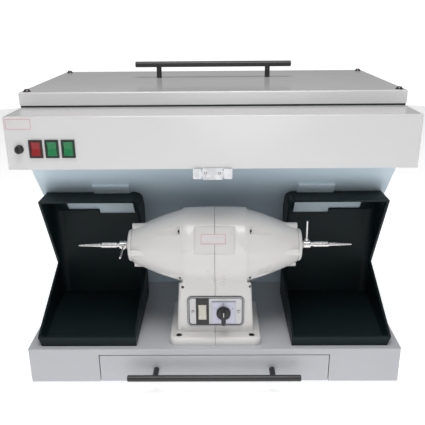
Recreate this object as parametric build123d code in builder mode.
"""Double-ended polishing lathe on a dust-extraction cabinet.

Millimetres, +Z up, +X to the operator's right, -Y towards the operator.
The origin is on the floor, under the centre of the whole machine.
"""
import os
from math import sqrt

from build123d import *

os.makedirs("parts", exist_ok=True)

# ---- driving dimensions: cabinet --------------------------------------------
WIDTH = 700.0             # over the cabinet sides
SHEET = 2.0               # folded steel sheet
FOOT_H = 8.0              # rubber feet
DECK = 79.0               # top of the base box
PANEL_RUN = 22.0          # control panel stands this far behind the base front
CABINET_RUN = 451.0       # control panel to the back sheet
LID_RUN = 92.0            # control panel to the lid front
HOUSING_LOW = 422.0       # underside of the upper housing
HOUSING_TOP = 513.0
GASKET_H = 3.5
LID_TOP = 540.0
WALL_RUN = 256.0          # control panel to the upright part of the back panel
SLOPE = 0.816             # mm back for each mm down the sloping panel
FAN_RUN = 353.0           # control panel to the fan axis

# ---- driving dimensions: bar handles and drawer ----------------------------
BAR_R = 6.0
BAR_REACH = 28.0          # bar centre above the face it is screwed to
POST_R = 5.4
LID_BAR = 332.0
LID_POSTS = 232.0
LID_BAR_RUN = 314.0
DRAWER_BAR = 322.0
DRAWER_POSTS = 219.0
DRAWER_HALF = 216.0
DRAWER_TOP = 65.0
TRAY_DEPTH = 300.0

# ---- whole machine, front to back ------------------------------------------
DEPTH = BAR_REACH + BAR_R + PANEL_RUN + CABINET_RUN
BACK = DEPTH / 2
PANEL = BACK - CABINET_RUN            # plane of the control panel
FRONT = PANEL - PANEL_RUN             # front of the base box
LID_FRONT = PANEL + LID_RUN
WALL = PANEL + WALL_RUN               # upright back panel
HALF = WIDTH / 2
FAN_Y = PANEL + FAN_RUN
WALL_BEND = HOUSING_LOW - (WALL - LID_FRONT) / SLOPE

# ---- driving dimensions: hoods ----------------------------------------------
HOOD_IN = 146.5           # motor side of a hood, from the middle
HOOD_OUT = 343.0          # outer side of a hood
HOOD_T = 4.5
HOOD_TOP = 328.0
HOOD_FRONT = PANEL - 11.0
HOOD_TOP_FRONT = PANEL + 108.0
HOOD_BACK = PANEL + 210.5
HOOD_WAIST = (PANEL + 198.0, 157.0)
HOOD_LIP = 97.0
HOOD_FLARE = (343.0, 342.0, 333.0)    # outer wall: at the waist, at the top front, at the lip
HOOD_TOE = 325.5          # outer wall where the front lip meets the deck
HOOD_ROUND = 16.0         # inside upright corners
HOOD_SLOT = (170.0, 310.0, 277.0)     # suction slot: near end, far end, lower edge

# ---- driving dimensions: lamps ----------------------------------------------
LAMP_X = 206.2
LAMP_W = 73.5
LAMP_T = 5.0              # how far the cover stands off the sloping panel
LAMP_TOP = 350.0          # heights where the cover meets the panel
LAMP_LOW = 262.0

# ---- driving dimensions: motor ----------------------------------------------
MX = 2.5                  # the motor stands a little right of the middle
MY = PANEL + 65.0
MZ = 253.9
RING_R = 73.5             # at the crown
RING_EDGE_R = 71.6
RING_HALF = 60.0
FLAT_R = 67.5             # label flat: distance from the axis
FLAT_ANGLE = 60.5         # degrees from straight up, towards the operator
BORE_R = 60.0
BELL_R = 69.0
BELL_MID = (108.0, 53.5)
BELL_END = (155.4, 32.6)
BOSS_R = 6.5
BOSS_PITCH = 38.2
CAP_R = 30.6
CAP_END = 163.3
SHAFT_R = 7.5
NOSE_R = 6.0
NOSE_END = 181.6
COLLAR_R = 8.2
COLLAR = (168.8, 182.0)
LEVER_X = 174.5
LEVER_R = 1.8
LEVER_END = 48.0
LEFT_LEVER_ANGLE = 97.0   # degrees from straight up, towards the operator
BARREL = (187.0, 216.7)
BARREL_R = 5.8
TIP = 261.0
SCREW_PITCH = 65.3
SCREW_SEAT = RING_HALF + 4.0          # under the heads of the bell screws
SCREW_ANGLES = (45, 135, 225, 315)
SEAM = 0.35               # half the seam between the two stand castings
RUN_FIT = 0.03            # radial clearance of running fits

# ---- driving dimensions: stand ----------------------------------------------
PLATE_HALF = 86.5
PLATE_Y = (PANEL - 10.0, PANEL + 140.0)
PLATE_TOP = 95.0
COLUMN_Y = (PANEL + 14.0, PANEL + 116.0)
COLUMN_LOW = 74.0
COLUMN_HIGH = 66.0
COLUMN_TOP = 225.0
SWITCH_X = MX + 1.0
SWITCH_Z = 139.2
SWITCH_W = 107.0
SWITCH_H = 62.5
CAM_X = MX + 15.8         # speed switch
CAM_Z = 137.0
CREAM_X = MX - 24.0       # start switch
CREAM_Z = 139.2

# ---- driving dimensions: control panel ---------------------------------------
ROCKER_W = 23.0
ROCKER_H = 31.0
ROCKER_Z = 458.3
ROCKER_X = (-298.3, -270.9, -243.3)
FUSE_X = -326.1
FUSE_Z = 458.0


# ---- small helpers -----------------------------------------------------------
def block(x, y, z, mode=Mode.ADD):
    """A box from three (low, high) pairs."""
    with Locations(((x[0] + x[1]) / 2, (y[0] + y[1]) / 2, (z[0] + z[1]) / 2)):
        Box(x[1] - x[0], y[1] - y[0], z[1] - z[0], mode=mode)


def rod(axis, span, centre, radius, mode=Mode.ADD):
    """A cylinder along axis over span; centre gives the other two coordinates."""
    middle = (span[0] + span[1]) / 2
    place = {
        "X": Location((middle, centre[0], centre[1]), (0, 90, 0)),
        "Y": Location((centre[0], middle, centre[1]), (90, 0, 0)),
        "Z": Location((centre[0], centre[1], middle)),
    }[axis]
    with Locations(place):
        Cylinder(radius, span[1] - span[0], mode=mode)


def side_profile(points, x, mode=Mode.ADD):
    """An outline of (y, z) points, extruded over the x pair."""
    with BuildSketch(Plane.YZ.offset(x[0])) as outline:
        with BuildLine():
            Polyline(*points, close=True)
        make_face()
    extrude(outline.sketch, amount=x[1] - x[0], mode=mode)


def front_profile(points, y, mode=Mode.ADD):
    """An outline of (x, z) points, extruded back over the y pair."""
    with BuildSketch(Plane.XZ.offset(-y[0])) as outline:
        with BuildLine():
            Polyline(*points, close=True)
        make_face()
    extrude(outline.sketch, amount=-(y[1] - y[0]), mode=mode)


def save(piece, name):
    """Label a finished piece and write its STEP file."""
    piece.label = name
    export_step(piece, f"parts/{name}.step")


def slope_y(z):
    """Where the face of the sloping panel is at height z."""
    return LID_FRONT + SLOPE * (HOUSING_LOW - z)


# ---- cabinet -----------------------------------------------------------------
def base_box():
    """Folded box under the deck, open at the front for the drawer."""
    with BuildPart() as base:
        block((-HALF, HALF), (FRONT, BACK), (FOOT_H, DECK))
        fillet(base.edges().filter_by(Axis.Z), 3)
        inside = (FOOT_H + SHEET, DECK - SHEET)
        block((-HALF + SHEET, HALF - SHEET), (FRONT + SHEET, BACK - SHEET), inside, Mode.SUBTRACT)
        opening = DRAWER_HALF + 1.5
        block((-opening, opening), (FRONT - 1, FRONT + 4), (FOOT_H - 1, DRAWER_TOP + 1.5), Mode.SUBTRACT)
        for x in (MX - 69, MX + 69):
            for y in (PLATE_Y[0] + 13, PLATE_Y[1] - 13):
                rod("Z", (DECK - 5, DECK + 5), (x, y), 4.2, Mode.SUBTRACT)
        rod("Z", (DECK - 5, DECK + 5), (MX, MY), 20, Mode.SUBTRACT)
    save(base.part, "base_box")


def feet():
    """Four turned rubber feet under the base box."""
    with BuildPart() as rubber:
        for x in (-HALF + 60, HALF - 60):
            for y in (FRONT + 55, BACK - 45):
                rod("Z", (0, FOOT_H), (x, y), 18)
        chamfer(rubber.edges().group_by(Axis.Z)[0], 2)
        for x in (-HALF + 60, HALF - 60):
            for y in (FRONT + 55, BACK - 45):
                rod("Z", (-1, 3), (x, y), 6, Mode.SUBTRACT)
    save(rubber.part, "rubber_feet")


def drawer_runners():
    """Two folded angles that carry the drawer tray."""
    outer = DRAWER_HALF - 5
    with BuildPart() as runners:
        for side in (-1, 1):
            wall = sorted((side * (outer - 1.5), side * outer))
            shelf = sorted((side * (outer - 13), side * outer))
            block(wall, (FRONT + 14, FRONT + 14 + TRAY_DEPTH), (FOOT_H + SHEET, 40))
            block(shelf, (FRONT + 14, FRONT + 14 + TRAY_DEPTH), (FOOT_H + SHEET, FOOT_H + SHEET + 3.5))
    save(runners.part, "drawer_runners")


def cabinet_shell():
    """Both sides and the back of the extraction cabinet, with the outlet and inlet openings."""
    outline = [(LID_FRONT, HOUSING_LOW), (BACK, HOUSING_LOW), (BACK, DECK), (WALL, DECK), (WALL, WALL_BEND)]
    with BuildPart() as shell:
        side_profile(outline, (-HALF, -HALF + SHEET))
        side_profile(outline, (HALF - SHEET, HALF))
        block((-HALF, HALF), (BACK - SHEET, BACK), (DECK, HOUSING_LOW))
        block((-60, 60), (BACK - 5, BACK + 5), (152, 222), Mode.SUBTRACT)
        block((-285, -257), (BACK - 5, BACK + 5), (110, 130), Mode.SUBTRACT)
    save(shell.part, "cabinet_shell")


def sloping_panel():
    """Folded panel behind the hoods, with a suction slot and a cable hole behind each."""
    t = SHEET
    outline = [
        (LID_FRONT, HOUSING_LOW), (LID_FRONT + t * 1.3, HOUSING_LOW), (WALL + t, WALL_BEND + 0.8),
        (WALL + t, DECK), (WALL, DECK), (WALL, WALL_BEND),
    ]
    with BuildPart() as panel:
        side_profile(outline, (-HALF + SHEET, HALF - SHEET))
        for side in (-1, 1):
            slot = sorted((side * 254, side * 334))
            block(slot, (slope_y(322) - 40, slope_y(302) + 40), (302, 322), Mode.SUBTRACT)
            rod("Y", (slope_y(306) - 30, slope_y(306) + 30), (side * LAMP_X, 306), 6, Mode.SUBTRACT)
    save(panel.part, "sloping_panel")


def upper_housing():
    """Overhanging box with the control panel in front and the filter well behind."""
    with BuildPart() as housing:
        block((-HALF, HALF), (PANEL, BACK), (HOUSING_LOW, HOUSING_TOP))
        fillet(housing.edges().filter_by(Axis.Z), 4)
        fillet(housing.edges().filter_by(Axis.X).group_by(Axis.Y)[0].sort_by(Axis.Z)[-1], 3)
        inside = (-HALF + SHEET, HALF - SHEET)
        block(inside, (PANEL + SHEET, BACK - SHEET), (HOUSING_LOW + SHEET, HOUSING_TOP - SHEET), Mode.SUBTRACT)
        block((-332, 332), (PANEL + 110, BACK - 18), (HOUSING_LOW - 5, HOUSING_TOP + 5), Mode.SUBTRACT)
        block(inside, (PANEL + 92, PANEL + 94), (HOUSING_LOW, HOUSING_TOP))
        block((-332, 332), (PANEL + 92, PANEL + 94), (HOUSING_LOW, HOUSING_TOP))
        rod("Y", (PANEL - 5, PANEL + 5), (FUSE_X, FUSE_Z), 6.1, Mode.SUBTRACT)
        for x in ROCKER_X:
            half = (ROCKER_W - 3) / 2
            tall = (ROCKER_H - 3) / 2
            block((x - half, x + half), (PANEL - 5, PANEL + 5), (ROCKER_Z - tall, ROCKER_Z + tall), Mode.SUBTRACT)
    save(housing.part, "upper_housing")


def catch_bracket():
    """Small bracket under the panel edge: one leaf between two blocks."""
    with BuildPart() as bracket:
        block((-17.2, 17.2), (PANEL - 1.8, PANEL), (403, 424))
        for x in (-12, 12):
            rod("Y", (PANEL - 4, PANEL + 1), (x, 414), 1.6, Mode.SUBTRACT)
        for side in (-1, 1):
            block(sorted((side * 19, side * 33.5)), (PANEL - 4, PANEL), (405, 423.2))
            block(sorted((side * 15, side * 20)), (PANEL - 1.6, PANEL), (408, 418))
        fillet(bracket.edges().filter_by(Axis.Y), 0.6)
    save(bracket.part, "catch_bracket")


# ---- lid ---------------------------------------------------------------------
def lid():
    """Lift-off filter lid: folded shell with softened corners."""
    with BuildPart() as shell:
        block((-HALF, HALF), (LID_FRONT, BACK), (HOUSING_TOP + GASKET_H, LID_TOP))
        fillet(shell.edges().filter_by(Axis.Z), 7)
        fillet(shell.faces().sort_by(Axis.Z)[-1].edges(), 3)
        low = (HOUSING_TOP, LID_TOP - SHEET)
        block((-HALF + SHEET, HALF - SHEET), (LID_FRONT + SHEET, BACK - SHEET), low, Mode.SUBTRACT)
        block((-HALF + 1, HALF - 1), (LID_FRONT + 1, LID_FRONT + 14), (HOUSING_TOP + GASKET_H, LID_TOP - 1))
        block((-HALF + 1, HALF - 1), (BACK - 14, BACK - 1), (HOUSING_TOP + GASKET_H, LID_TOP - 1))
    save(shell.part, "lid_shell")


def lid_gasket():
    """Rubber frame between the lid and the housing."""
    with BuildPart() as gasket:
        block((-HALF + 1, HALF - 1), (LID_FRONT + 1, BACK - 1), (HOUSING_TOP, HOUSING_TOP + GASKET_H))
        fillet(gasket.edges().filter_by(Axis.Z), 6)
        block((-HALF + 13, HALF - 13), (LID_FRONT + 13, BACK - 13), (HOUSING_TOP - 1, HOUSING_TOP + 9), Mode.SUBTRACT)
    save(gasket.part, "lid_gasket")


def lid_screws():
    """Domed corner screws of the lid."""
    with BuildPart() as screws:
        for x in (-337.5, 337.5):
            for y in (PANEL + 107, PANEL + 430):
                rod("Z", (LID_TOP, LID_TOP + 5), (x, y), 7)
        fillet(screws.faces().group_by(Axis.Z)[-1].edges(), 4)
    save(screws.part, "lid_screws")


def bar_handle(name, plane, length, spacing):
    """A round bar on two turned posts; the plane's z points out of the face."""
    ends = [(-spacing / 2, 0), (spacing / 2, 0)]
    with BuildPart() as bar:
        with BuildSketch(Plane(plane.origin + plane.z_dir * BAR_REACH - plane.x_dir * length / 2, z_dir=plane.x_dir)):
            Circle(BAR_R)
        extrude(amount=length)
        fillet(bar.edges(), 1.5)
        with BuildSketch(plane):
            with Locations(*ends):
                Circle(POST_R)
        extrude(amount=BAR_REACH - 2, mode=Mode.SUBTRACT)
    save(bar.part, name + "_bar")
    with BuildPart() as posts:
        with BuildSketch(plane):
            with Locations(*ends):
                Circle(POST_R)
        extrude(amount=BAR_REACH - 2)
    save(posts.part, name + "_posts")


# ---- drawer ------------------------------------------------------------------
def drawer():
    """Dust drawer: front plate and open tray."""
    with BuildPart() as face:
        block((-DRAWER_HALF, DRAWER_HALF), (FRONT, FRONT + 3), (FOOT_H + 1, DRAWER_TOP))
        block((-DRAWER_HALF + 6, DRAWER_HALF - 6), (FRONT + 3, FRONT + 12), (FOOT_H + 6.2, DRAWER_TOP - 4))
        fillet(face.edges().filter_by(Axis.Y).group_by(Axis.Y)[0], 1)
    save(face.part, "drawer_front")
    tray_half = DRAWER_HALF - 7
    low = FOOT_H + SHEET + 3.8
    with BuildPart() as tray:
        block((-tray_half, tray_half), (FRONT + 12, FRONT + 12 + TRAY_DEPTH), (low, 60))
        hollow_y = (FRONT + 12 + SHEET, FRONT + 12 + TRAY_DEPTH - SHEET)
        block((-tray_half + SHEET, tray_half - SHEET), hollow_y, (low + SHEET, 61), Mode.SUBTRACT)
    save(tray.part, "drawer_tray")


# ---- extraction fan and filter -------------------------------------------------


def fan():
    """Centrifugal fan in the cabinet: motor, scroll and impeller."""
    with BuildPart() as motor:
        rod("Z", (DECK, 150), (0, FAN_Y), 48)
        fillet(motor.edges().group_by(Axis.Z)[-1], 6)
        rod("Z", (DECK, DECK + 6), (0, FAN_Y), 62)
        rod("Z", (149, 166), (0, FAN_Y), 5)
    save(motor.part, "fan_motor")
    with BuildPart() as scroll:
        rod("Z", (152, 232), (0, FAN_Y), 88)
        block((-58, 58), (FAN_Y + 40, BACK - SHEET), (152, 222))
        rod("Z", (154, 230), (0, FAN_Y), 86, Mode.SUBTRACT)
        block((-56, 56), (FAN_Y + 42, BACK), (154, 220), Mode.SUBTRACT)
        rod("Z", (229, 235), (0, FAN_Y), 55, Mode.SUBTRACT)
        rod("Z", (150, 155), (0, FAN_Y), 12, Mode.SUBTRACT)
        for x in (-70, 70):
            block((x - 6, x + 6), (FAN_Y - 12, FAN_Y + 12), (DECK, 152))
    save(scroll.part, "fan_scroll")
    with BuildPart() as impeller:
        rod("Z", (160, 164), (0, FAN_Y), 78)
        rod("Z", (160, 185), (0, FAN_Y), 14)
        rod("Z", (214, 217), (0, FAN_Y), 78)
        rod("Z", (213, 218), (0, FAN_Y), 58, Mode.SUBTRACT)
        for turn in range(24):
            with BuildSketch(Plane((0, FAN_Y, 164)).rotated((0, 0, turn * 15))):
                with Locations(Location((68, 0, 0), (0, 0, 25))):
                    Rectangle(18, 1.6)
            extrude(amount=50)
        rod("Z", (155, 180), (0, FAN_Y), 5 + RUN_FIT, Mode.SUBTRACT)
    save(impeller.part, "fan_impeller")


def filter_cassette():
    """Pleated filter in a frame, on the ledges of the housing."""
    x = 344.0
    y = (PANEL + 96, BACK - 4)
    pleats = 40
    step = (2 * x - 12) / pleats
    low, high = 428, 462
    over = [(-x + 6 + step * n / 2, high if n % 2 else low) for n in range(2 * pleats + 1)]
    under = [(px, pz - 4) for px, pz in reversed(over)]
    with BuildPart() as cassette:
        block((-x, x), y, (424, 466))
        block((-x + 6, x - 6), (y[0] + 6, y[1] - 6), (423, 467), Mode.SUBTRACT)
        front_profile(over + under, (y[0] + 5.9, y[1] - 5.9))
    save(cassette.part, "filter_cassette")


def back_fittings():
    """Outlet grille and mains inlet, both flush in the back sheet."""
    with BuildPart() as grille:
        block((-60, 60), (BACK - SHEET, BACK), (152, 222))
        for row in range(6):
            z = 160 + row * 11
            block((-52, 52), (BACK - 5, BACK + 5), (z - 3, z + 3), Mode.SUBTRACT)
    save(grille.part, "outlet_grille")
    with BuildPart() as inlet:
        block((-285, -257), (BACK - 26, BACK), (110, 130))
        block((-282, -260), (BACK - 16, BACK + 1), (113, 127), Mode.SUBTRACT)
        for x in (-276, -271, -266):
            block((x - 1, x + 1), (BACK - 17, BACK - 4), (118, 122))
    save(inlet.part, "power_inlet")


# ---- hoods and lamps -------------------------------------------------------------
def hood_planes(side):
    """Outward planes of a hood's outer wall and of its lower front corner."""
    waist, top, lip = HOOD_FLARE
    corners = (
        ((waist,) + HOOD_WAIST, (lip, HOOD_FRONT, HOOD_LIP + 2), (top, HOOD_TOP_FRONT, HOOD_TOP)),
        ((lip, HOOD_FRONT, HOOD_LIP + 2), (HOOD_TOE, HOOD_FRONT, DECK), (top, HOOD_WAIST[0], DECK)),
    )
    planes = []
    for points in corners:
        a, b, c = (Vector(side * x, y, z) for x, y, z in points)
        normal = (b - a).cross(c - a)
        planes.append(Plane(origin=a, z_dir=normal if normal.X * side > 0 else normal * -1))
    return planes


def hood(side, name):
    """Moulded working hood: open front, V-cut side walls, lipped floor."""
    x = sorted((side * HOOD_IN, side * HOOD_OUT))
    gap = 0.5
    lean = HOOD_T * sqrt(1 + SLOPE ** 2) + gap
    back = HOOD_BACK - HOOD_T
    outline = [
        (HOOD_FRONT, DECK), (HOOD_BACK, DECK), (HOOD_BACK, HOUSING_LOW - (HOOD_BACK + gap - LID_FRONT) / SLOPE),
        (slope_y(HOOD_TOP) - gap, HOOD_TOP), (HOOD_TOP_FRONT, HOOD_TOP), HOOD_WAIST, (HOOD_FRONT + 3, HOOD_LIP),
        (HOOD_FRONT, HOOD_LIP),
    ]
    inner = [
        (HOOD_FRONT + HOOD_T, DECK + HOOD_T), (back, DECK + HOOD_T),
        (back, HOUSING_LOW - (back + lean - LID_FRONT) / SLOPE),
        (slope_y(HOOD_TOP - HOOD_T) - lean, HOOD_TOP - HOOD_T), (HOOD_FRONT + HOOD_T, HOOD_TOP - HOOD_T),
    ]
    with BuildPart() as cavity:
        side_profile(inner, (x[0] + HOOD_T, x[1] - HOOD_T))
        fillet(cavity.edges().filter_by(Axis.Z).filter_by_position(Axis.Y, back - 1, back + 1), HOOD_ROUND)
        top_in = cavity.edges().filter_by(Axis.Y).group_by(Axis.Z)[-1].sort_by(Axis.X)[0 if side > 0 else -1]
        fillet(top_in, 10)
        for plane in hood_planes(side):
            split(bisect_by=plane.offset(-HOOD_T), keep=Keep.BOTTOM)
    with BuildPart() as shell:
        side_profile(outline, x)
        top_edges = shell.edges().filter_by(Axis.Y).group_by(Axis.Z)[-1].sort_by(Axis.X)
        near, far = (top_edges[0], top_edges[-1]) if side > 0 else (top_edges[-1], top_edges[0])
        fillet(near, 14)
        fillet(far, 4)
        fillet(shell.edges().filter_by(Axis.Z).filter_by_position(Axis.Y, HOOD_BACK - 1, HOOD_BACK + 1), 10)
        for plane in hood_planes(side):
            split(bisect_by=plane, keep=Keep.BOTTOM)
        add(cavity.part, mode=Mode.SUBTRACT)
        slot = sorted((side * HOOD_SLOT[0], side * HOOD_SLOT[1]))
        block(slot, (slope_y(HOOD_TOP) - 12, HOOD_BACK + 5), (HOOD_SLOT[2], HOOD_TOP - HOOD_T), Mode.SUBTRACT)
        lamp = (side * LAMP_X - LAMP_W / 2 - 1, side * LAMP_X + LAMP_W / 2 + 1)
        block(lamp, (slope_y(HOOD_TOP) - 9, HOOD_BACK + 10), (LAMP_LOW + 5, HOOD_TOP + 5), Mode.SUBTRACT)
    save(shell.part, name)


def hood_brackets():
    """Folded angles that hold each hood back to the deck."""
    with BuildPart() as brackets:
        for side in (-1, 1):
            for offset in (180, 310):
                x = (side * offset - 12, side * offset + 12)
                block(x, (HOOD_BACK, HOOD_BACK + 2), (DECK, DECK + 30))
                block(x, (HOOD_BACK, HOOD_BACK + 24), (DECK, DECK + 2))
    save(brackets.part, "hood_brackets")


def lamp_plane(x):
    """Plane in the sloping face: its x runs to the right, its y up the slope."""
    z = (LAMP_TOP + LAMP_LOW) / 2
    up = Vector(0, -SLOPE, 1).normalized()
    out = Vector(0, -1, -SLOPE).normalized()
    return Plane(origin=(x, slope_y(z), z), x_dir=up, z_dir=out)


def lamps():
    """Two flat work lamps on the sloping panel: tray, tube strip and cover."""
    length = (LAMP_TOP - LAMP_LOW) * (1 + SLOPE ** 2) ** 0.5
    with BuildPart() as trays:
        for side in (-1, 1):
            with BuildSketch(lamp_plane(side * LAMP_X)):
                Rectangle(length - 4, LAMP_W - 4)
                Rectangle(length - 8, LAMP_W - 8, mode=Mode.SUBTRACT)
            extrude(amount=3.4)
            with BuildSketch(lamp_plane(side * LAMP_X)):
                Rectangle(length - 4, LAMP_W - 4)
            extrude(amount=0.8)
    save(trays.part, "lamp_trays")
    with BuildPart() as strips:
        for side in (-1, 1):
            with BuildSketch(lamp_plane(side * LAMP_X).offset(0.8)):
                Rectangle(length - 20, 24)
            extrude(amount=1.6)
    save(strips.part, "lamp_strips")
    with BuildPart() as covers:
        for side in (-1, 1):
            with BuildSketch(lamp_plane(side * LAMP_X)):
                Rectangle(length, LAMP_W)
                Rectangle(length - 3.6, LAMP_W - 3.6, mode=Mode.SUBTRACT)
            extrude(amount=LAMP_T)
            with BuildSketch(lamp_plane(side * LAMP_X).offset(LAMP_T - 1.4)):
                Rectangle(length, LAMP_W)
            extrude(amount=1.4)
    save(covers.part, "lamp_covers")


# ---- motor stand -------------------------------------------------------------------
def polar(radius, angle):
    """(y, z) at a radius from the motor axis, angle in degrees from straight up to the front."""
    arm = Vector(0, 0, radius).rotate(Axis.X, angle)
    return MY + arm.Y, MZ + arm.Z



def stand():
    """Ring and column cast in two halves, joined on the middle plane."""
    def ring():
        ThreePointArc((-RING_HALF, RING_EDGE_R), (0, RING_R), (RING_HALF, RING_EDGE_R))
        Polyline((RING_HALF, RING_EDGE_R), (RING_HALF, 0), (-RING_HALF, 0), (-RING_HALF, RING_EDGE_R))

    with BuildPart() as casting:
        taper = (COLUMN_LOW - COLUMN_HIGH) / (COLUMN_TOP - PLATE_TOP)
        foot = COLUMN_LOW + taper * 8
        front_profile([
            (MX - foot, PLATE_TOP - 8), (MX + foot, PLATE_TOP - 8),
            (MX + COLUMN_HIGH, COLUMN_TOP), (MX - COLUMN_HIGH, COLUMN_TOP),
        ], COLUMN_Y)
        fillet(casting.edges().filter_by_position(Axis.Z, 140, 180), 7)
        with Locations((MX, sum(PLATE_Y) / 2, (DECK + PLATE_TOP) / 2)):
            plate = Box(2 * PLATE_HALF, PLATE_Y[1] - PLATE_Y[0], PLATE_TOP - DECK, mode=Mode.PRIVATE)
        plate = plate.fillet(12, plate.edges().filter_by(Axis.Z))
        plate = plate.fillet(4, plate.faces().sort_by(Axis.Z)[-1].edges())
        add(plate)
        turned(ring, 1)
        for side in (-1, 1):
            span = sorted((MX + side * RING_HALF, MX + side * (RING_HALF + 20)))
            rod("X", span, (MY, MZ), RING_R + 1, Mode.SUBTRACT)
        rod("X", (MX - 90, MX + 90), (MY, MZ), BORE_R, Mode.SUBTRACT)
        block((MX - 58, MX + 58), (COLUMN_Y[0] + 6, COLUMN_Y[1] - 6), (DECK - 1, MZ - RING_R + 8), Mode.SUBTRACT)
        block((SWITCH_X - 47, SWITCH_X + 47), (COLUMN_Y[0] - 5, COLUMN_Y[0] + 10), (112.5, 166), Mode.SUBTRACT)
        block((MX + 61.5, MX + 90), (COLUMN_Y[0] - 1, COLUMN_Y[0] + 1), (PLATE_TOP + 1, COLUMN_TOP), Mode.SUBTRACT)
        for x in (MX - 69, MX + 69):
            for y in (PLATE_Y[0] + 13, PLATE_Y[1] - 13):
                rod("Z", (DECK - 1, PLATE_TOP + 1), (x, y), 4.2, Mode.SUBTRACT)
                rod("Z", (PLATE_TOP - 6, PLATE_TOP + 1), (x, y), 6.2, Mode.SUBTRACT)
        for angle in SCREW_ANGLES:
            for side in (-1, 1):
                span = sorted((MX + side * (RING_HALF - 12), MX + side * (RING_HALF + 1)))
                rod("X", span, polar(SCREW_PITCH, angle), 2.1, Mode.SUBTRACT)
        y, z = polar(FLAT_R, FLAT_ANGLE)
        flat = Plane(origin=(MX, y, z), x_dir=(1, 0, 0), z_dir=(0, y - MY, z - MZ))
        with BuildSketch(flat):
            Rectangle(73, 51)
        extrude(amount=12, mode=Mode.SUBTRACT)
        for x in (MX - 60.5, MX + 64.2):
            rod("Y", (COLUMN_Y[0] - 2, COLUMN_Y[0] + 6), (x, 190), 1.6, Mode.SUBTRACT)
    for side, name in ((-1, "stand_left"), (1, "stand_right")):
        with BuildPart() as half:
            add(casting.part)
            keep = Keep.TOP if side > 0 else Keep.BOTTOM
            split(bisect_by=Plane.YZ.offset(MX + side * SEAM), keep=keep)
        save(half.part, name)


def stand_bolts():
    """Socket screws that hold the stand to the deck, with their nuts."""
    with BuildPart() as bolts:
        for x in (MX - 69, MX + 69):
            for y in (PLATE_Y[0] + 13, PLATE_Y[1] - 13):
                rod("Z", (DECK - 12, PLATE_TOP - 5), (x, y), 4)
                rod("Z", (PLATE_TOP - 6, PLATE_TOP - 0.6), (x, y), 5.4)
                with BuildSketch(Plane((x, y, DECK - SHEET - 5))):
                    RegularPolygon(6, 6)
                extrude(amount=5)
                with BuildSketch(Plane((x, y, PLATE_TOP - 3.6))):
                    RegularPolygon(2.9, 6)
                extrude(amount=3.1, mode=Mode.SUBTRACT)
    save(bolts.part, "stand_bolts")


def motor_screws():
    """Pan-head screws: four into each bell and two in the column face."""
    with BuildPart() as screws:
        for angle in SCREW_ANGLES:
            for side in (-1, 1):
                shank = sorted((MX + side * (RING_HALF - 11), MX + side * (SCREW_SEAT + 0.5)))
                head = sorted((MX + side * SCREW_SEAT, MX + side * (SCREW_SEAT + 3)))
                rod("X", shank, polar(SCREW_PITCH, angle), 2)
                rod("X", head, polar(SCREW_PITCH, angle), 2.9)
        for x, face in ((MX - 60.5, 0), (MX + 64.2, 1)):
            rod("Y", (COLUMN_Y[0] - 1.2 + face, COLUMN_Y[0] + face), (x, 190), 2.6)
            rod("Y", (COLUMN_Y[0] - 0.2 + face, COLUMN_Y[0] + 5), (x, 190), 1.5)
    save(screws.part, "motor_screws")


# ---- motor -----------------------------------------------------------------------
def turned(outline, side):
    """Revolve an (x, radius) outline about the motor axis, on the right or left side."""
    with BuildSketch(Plane(origin=(MX, MY, MZ), x_dir=(side, 0, 0), z_dir=(0, -side, 0))) as section:
        with BuildLine():
            outline()
        make_face()
    revolve(section.sketch, axis=Axis((MX, MY, MZ), (1, 0, 0)))


def bell(side, name):
    """Cast end bell with bearing seat, four bosses and four screw pockets."""
    start = RING_HALF

    def outline():
        ThreePointArc((start, BELL_R), BELL_MID, BELL_END)
        Polyline(BELL_END, (BELL_END[0], 12), (152, 12), (152, 17.5), (139, 17.5), (139, 24))
        ThreePointArc((139, 24), (104, 49.5), (start, 62))
        Line((start, 62), (start, BELL_R))

    with BuildPart() as shell:
        turned(outline, side)
        for angle in (0, 90, 180, 270):
            span = sorted((MX + side * 120, MX + side * (BELL_END[0] - 0.4)))
            rod("X", span, polar(BOSS_PITCH, angle), BOSS_R)
        for angle in SCREW_ANGLES:
            y, z = polar(SCREW_PITCH + 6, angle)
            tilt = Vector(side, 0, 0) - (Vector(0, y - MY, z - MZ).normalized() * 0.19)
            seat = Vector(MX + side * SCREW_SEAT, y, z)
            with BuildSketch(Plane(origin=seat, z_dir=tilt)):
                Circle(9)
            extrude(amount=60, mode=Mode.SUBTRACT)
            span = sorted((MX + side * (start - 1), MX + side * (SCREW_SEAT + 6.5)))
            rod("X", span, polar(SCREW_PITCH, angle), 2.1, Mode.SUBTRACT)
    save(shell.part, name)


def cap(side, name):
    """Round bearing cap with the nose that the release collar turns on."""
    def outline():
        Polyline((BELL_END[0], 9), (BELL_END[0], 28), (BELL_END[0] + 2, CAP_R))
        Polyline((BELL_END[0] + 2, CAP_R), (CAP_END - 2.5, CAP_R), (CAP_END, CAP_R - 2.5), (CAP_END, 12))
        Polyline((CAP_END, 12), (CAP_END + 2.5, 10), (CAP_END + 2.5, NOSE_R), (NOSE_END, NOSE_R), (NOSE_END, 5.0))
        Polyline((NOSE_END, 5.0), (CAP_END - 1, 5.0), (CAP_END - 1, 9), (BELL_END[0], 9))

    with BuildPart() as disc:
        turned(outline, side)
    save(disc.part, name)


def bearings():
    """Two ball bearings, each drawn as one ring."""
    with BuildPart() as rings:
        for side in (-1, 1):
            span = sorted((MX + side * 140.5, MX + side * 151.5))
            rod("X", span, (MY, MZ), 17.45)
            rod("X", span, (MY, MZ), SHAFT_R + RUN_FIT, Mode.SUBTRACT)
    save(rings.part, "bearings")


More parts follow.
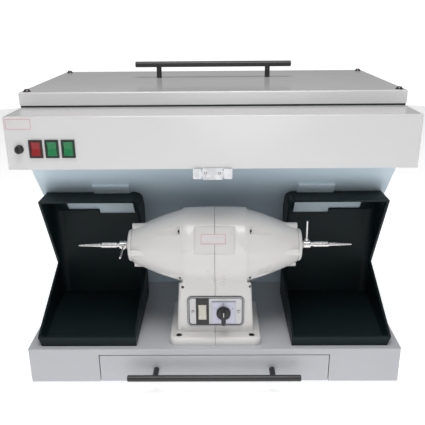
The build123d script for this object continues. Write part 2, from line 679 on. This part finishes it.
def stator():
    """Stator core with its winding heads."""
    with BuildPart() as core:
        rod("X", (MX - 40, MX + 40), (MY, MZ), BORE_R - 0.05)
        rod("X", (MX - 58, MX + 58), (MY, MZ), 54)
        rod("X", (MX - 90, MX + 90), (MY, MZ), 38.6, Mode.SUBTRACT)
    save(core.part, "stator")


def rotor():
    """Through shaft and rotor core."""
    with BuildPart() as shaft:
        rod("X", (MX - 160, MX + 160), (MY, MZ), SHAFT_R)
        rod("X", (MX - BARREL[0], MX + BARREL[0]), (MY, MZ), 4.5)
        rod("X", (MX - 205, MX + 205), (MY, MZ), 3.5)
    save(shaft.part, "motor_shaft")
    with BuildPart() as core:
        rod("X", (MX - 45, MX + 45), (MY, MZ), 38)
        fillet(core.edges(), 1)
        rod("X", (MX - 50, MX + 50), (MY, MZ), SHAFT_R + 0.02, Mode.SUBTRACT)
    save(core.part, "rotor_core")


def spindle(side, name):
    """Tapered polishing spindle with a plain barrel."""
    def outline():
        Polyline((BARREL[0], 3.52), (BARREL[0], BARREL_R - 0.6), (BARREL[0] + 0.6, BARREL_R))
        Line((BARREL[0] + 0.6, BARREL_R), (BARREL[1] - 1.5, BARREL_R))
        Polyline((BARREL[1] - 1.5, BARREL_R), (BARREL[1], 4.6), (BARREL[1] + 1, 4.1), (TIP - 2, 1.8), (TIP, 0.6))
        Polyline((TIP, 0.6), (TIP, 0), (205.2, 0), (205.2, 3.52), (BARREL[0], 3.52))

    with BuildPart() as taper:
        turned(outline, side)
    save(taper.part, name)


def release_collar(side, angle, place):
    """Release collar on the cap nose, with its lever rod."""
    x = MX + side * LEVER_X
    out = Vector(0, 0, 1).rotate(Axis.X, angle)
    axis_point = Vector(x, MY, MZ)
    span = sorted((MX + side * COLLAR[0], MX + side * COLLAR[1]))
    with BuildPart() as collar:
        rod("X", span, (MY, MZ), COLLAR_R)
        fillet(collar.edges(), 0.8)
        rod("X", span, (MY, MZ), NOSE_R + RUN_FIT, Mode.SUBTRACT)
        with BuildSketch(Plane(origin=axis_point + out * 7, z_dir=out)):
            Circle(LEVER_R + 0.02)
        extrude(amount=5, mode=Mode.SUBTRACT)
    save(collar.part, "collar_" + place)
    with BuildPart() as lever:
        with BuildSketch(Plane(origin=axis_point + out * 7, z_dir=out)):
            Circle(LEVER_R)
        extrude(amount=LEVER_END - 7)
        fillet(lever.edges().sort_by(Axis(tuple(axis_point), tuple(out)))[-1], 1)
        with BuildSketch(Plane(origin=axis_point + out * 8.6, z_dir=out)):
            RegularPolygon(3.6, 6)
        extrude(amount=3.4)
    save(lever.part, "lever_" + place)


# ---- speed switch plate -------------------------------------------------------------
def switch_plate():
    """Framed steel plate in the column face, with the openings of both switches."""
    face = COLUMN_Y[0]
    with BuildPart() as plate:
        with BuildSketch(Plane.XZ.offset(-face)):
            with Locations((SWITCH_X, SWITCH_Z)):
                RectangleRounded(SWITCH_W, SWITCH_H, 9)
        extrude(amount=2.4)
        with BuildSketch(Plane.XZ.offset(-face + 1.2)):
            with Locations((SWITCH_X, SWITCH_Z)):
                RectangleRounded(SWITCH_W - 6, SWITCH_H - 6, 6.5)
        extrude(amount=5, mode=Mode.SUBTRACT)
        block((MX - 35.2, MX - 12.8), (face - 5, face + 5), (113, 165), Mode.SUBTRACT)
        rod("Y", (face - 5, face + 5), (CAM_X, CAM_Z), 9, Mode.SUBTRACT)
    save(plate.part, "switch_plate")


def switch_hardware():
    """Small screws, the start switch body, the speed dial plate and the cam switch."""
    face = COLUMN_Y[0]
    with BuildPart() as screws:
        for x in (SWITCH_X - 43.5, SWITCH_X + 43.5):
            rod("Y", (face - 3, face - 1.2), (x, SWITCH_Z), 3.0)
        for x in (-12, 12):
            rod("Y", (PANEL - 3.6, PANEL - 1.8), (x, 414), 3.0)
            rod("Y", (PANEL - 1.8, PANEL), (x, 414), 1.5)
    save(screws.part, "small_screws")
    with BuildPart() as body:
        block((CREAM_X - 12.3, CREAM_X + 12.3), (face - 4.2, face - 1.2), (CREAM_Z - 27.8, CREAM_Z + 27.8))
        block((CREAM_X - 11, CREAM_X + 11), (face - 1.2, face + 34), (CREAM_Z - 25.8, CREAM_Z + 25.8))
        block((CREAM_X - 7.9, CREAM_X + 7.9), (face - 9, face + 12), (CREAM_Z - 16, CREAM_Z + 16), Mode.SUBTRACT)
    save(body.part, "start_switch_body")
    with BuildPart() as dial:
        block((CAM_X - 23, CAM_X + 23), (face - 3.4, face - 1.2), (CAM_Z - 23, CAM_Z + 23))
        fillet(dial.edges().filter_by(Axis.Y), 1.5)
        rod("Y", (face - 9, face + 5), (CAM_X, CAM_Z), 6, Mode.SUBTRACT)
    save(dial.part, "speed_dial_plate")
    with BuildPart() as cam:
        block((CAM_X - 20, CAM_X + 20), (face + 8, face + 58), (CAM_Z - 20, CAM_Z + 20))
        rod("Y", (face - 1.2, face + 8), (CAM_X, CAM_Z), 8.8)
        rod("Y", (face - 2, face + 9), (CAM_X, CAM_Z), 3.5, Mode.SUBTRACT)
    save(cam.part, "cam_switch_body")


def speed_knob():
    """Pointer knob of the speed switch, with its shaft."""
    face = COLUMN_Y[0]
    with BuildPart() as knob:
        rod("Y", (face - 9.5, face - 3.7), (CAM_X, CAM_Z), 13.5)
        fillet(knob.edges().group_by(Axis.Y)[0], 1.2)
        block((CAM_X - 4.2, CAM_X + 4.2), (face - 23, face - 9), (CAM_Z - 18.5, CAM_Z + 13))
        fillet(knob.faces().sort_by(Axis.Y)[0].edges(), 1.6)
        rod("Y", (face - 4, face + 8.5), (CAM_X, CAM_Z), 3.2)
    save(knob.part, "speed_knob")


def rocker_key(name, x, z, width, height, face):
    """A rocker key on its pivot, in the middle of its throw."""
    with BuildPart() as key:
        with BuildSketch(Plane.YZ.offset(x - width / 2)):
            with BuildLine():
                ThreePointArc((face, z - height / 2), (face + 1.4, z), (face, z + height / 2))
                Polyline((face, z + height / 2), (face + 5, z + height / 2 - 1.4), (face + 9, z + 3))
                Polyline((face + 9, z + 3), (face + 9, z - 3), (face + 5, z - height / 2 + 1.4), (face, z - height / 2))
            make_face()
        extrude(amount=width)
    save(key.part, name)


def panel_switches():
    """Bezels of the three panel rockers and the fuse holder."""
    with BuildPart() as bezels:
        for x in ROCKER_X:
            half = ROCKER_W / 2
            tall = ROCKER_H / 2
            block((x - half, x + half), (PANEL - 2.2, PANEL), (ROCKER_Z - tall, ROCKER_Z + tall))
            block((x - half + 1.7, x + half - 1.7), (PANEL, PANEL + 26), (ROCKER_Z - tall + 1.7, ROCKER_Z + tall - 1.7))
            block((x - 8.3, x + 8.3), (PANEL - 9, PANEL + 14), (ROCKER_Z - 12.6, ROCKER_Z + 12.6), Mode.SUBTRACT)
    save(bezels.part, "rocker_bezels")
    with BuildPart() as holder:
        rod("Y", (PANEL, PANEL + 34), (FUSE_X, FUSE_Z), 6)
        rod("Y", (PANEL - 1.6, PANEL), (FUSE_X, FUSE_Z), 7.4)
        rod("Y", (PANEL - 3, PANEL + 30), (FUSE_X, FUSE_Z), 4.6, Mode.SUBTRACT)
    save(holder.part, "fuse_holder")
    with BuildPart() as fuse_cap:
        rod("Y", (PANEL - 9, PANEL - 1.9), (FUSE_X, FUSE_Z), 6.8)
        fillet(fuse_cap.edges().group_by(Axis.Y)[0], 1)
        rod("Y", (PANEL - 2, PANEL + 8), (FUSE_X, FUSE_Z), 4.2)
        block((FUSE_X - 5, FUSE_X + 5), (PANEL - 10, PANEL - 8), (FUSE_Z - 0.7, FUSE_Z + 0.7), Mode.SUBTRACT)
    save(fuse_cap.part, "fuse_cap")


def labels():
    """Two blank rating labels: one on the control panel, one on the motor flat."""
    y, z = polar(FLAT_R, FLAT_ANGLE)
    flat = Plane(origin=(MX - 2.5, y, z), x_dir=(1, 0, 0), z_dir=(0, y - MY, z - MZ))
    with BuildPart() as plates:
        block((-346, -302), (PANEL - 0.4, PANEL), (491, 510))
        with BuildSketch(flat):
            with Locations((0, 2.6)):
                Rectangle(46, 19)
        extrude(amount=0.4)
    save(plates.part, "blank_labels")


def main():
    """Build every piece."""
    base_box()
    feet()
    drawer_runners()
    cabinet_shell()
    sloping_panel()
    upper_housing()
    catch_bracket()
    lid()
    lid_gasket()
    lid_screws()
    bar_handle("lid", Plane((0, PANEL + LID_BAR_RUN, LID_TOP)), LID_BAR, LID_POSTS)
    drawer()
    bar_handle("drawer", Plane((0, FRONT, 34.5), x_dir=(1, 0, 0), z_dir=(0, -1, 0)), DRAWER_BAR, DRAWER_POSTS)
    fan()
    filter_cassette()
    back_fittings()
    hood(-1, "hood_left")
    hood(1, "hood_right")
    hood_brackets()
    lamps()
    stand()
    stand_bolts()
    motor_screws()
    bell(-1, "bell_left")
    bell(1, "bell_right")
    cap(-1, "cap_left")
    cap(1, "cap_right")
    bearings()
    stator()
    rotor()
    spindle(-1, "spindle_left")
    spindle(1, "spindle_right")
    release_collar(-1, LEFT_LEVER_ANGLE, "left")
    release_collar(1, 0, "right")
    switch_plate()
    switch_hardware()
    speed_knob()
    for name, x in zip(("rocker_on", "rocker_light", "rocker_suction"), ROCKER_X):
        rocker_key(name, x, ROCKER_Z, 16, 24, PANEL - 3.2)
    rocker_key("start_rocker", CREAM_X, CREAM_Z, 15.2, 31, COLUMN_Y[0] - 5.6)
    panel_switches()
    labels()


main()
